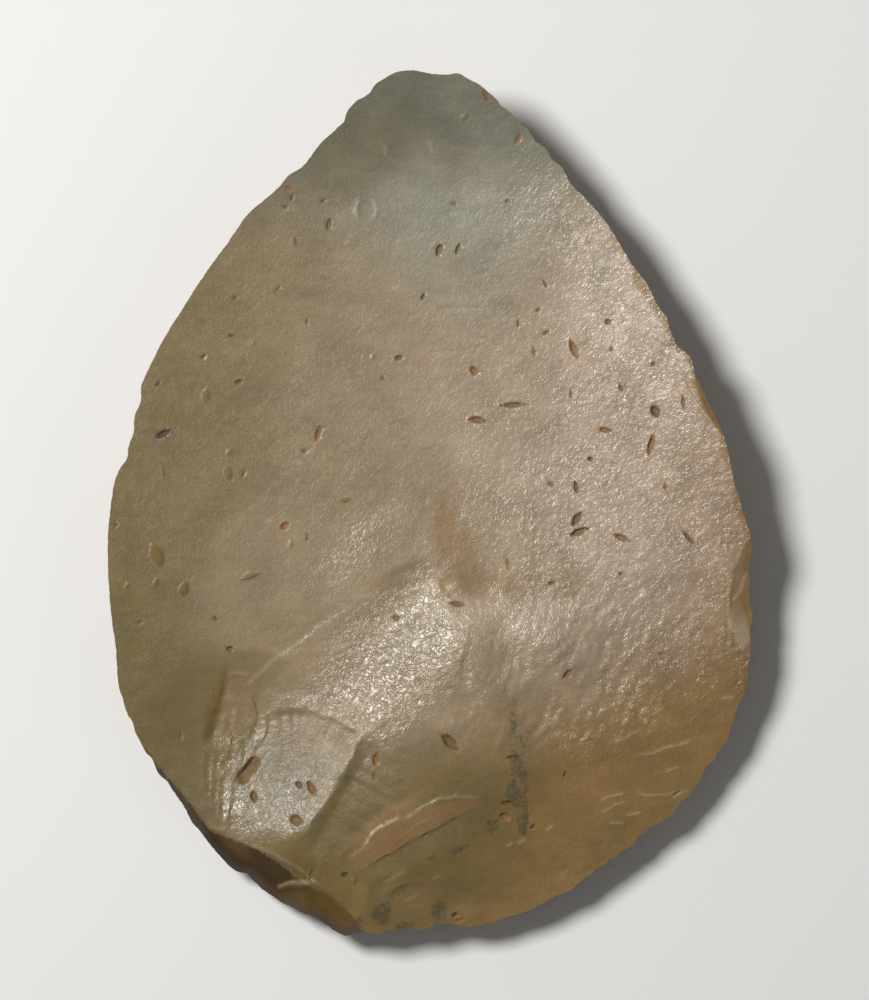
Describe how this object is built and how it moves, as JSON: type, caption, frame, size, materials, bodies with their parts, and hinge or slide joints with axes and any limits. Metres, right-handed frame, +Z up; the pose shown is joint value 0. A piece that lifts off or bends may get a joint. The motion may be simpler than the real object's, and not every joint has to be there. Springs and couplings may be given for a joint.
{
  "type": "stone scraper",
  "caption": "Large flint scraper: one flat pointed-oval flake with its split face up, a swelling bulb at the struck base and a steep trimmed edge all round underneath",
  "frame": {"origin": "middle of the footprint, on the ground that the flake's underside rests on", "axes": "+Z up out of the split face, +Y along the flake to its point, +X to the right as the split face is looked down on"},
  "size_m": [0.0897, 0.1202, 0.0139],
  "materials": {
    "flint": "silky patinated flint, olive tan, pinkish buff and grey"
  },
  "bodies": {
    "root": {"scraper": "flint"}
  },
  "joints": []
}
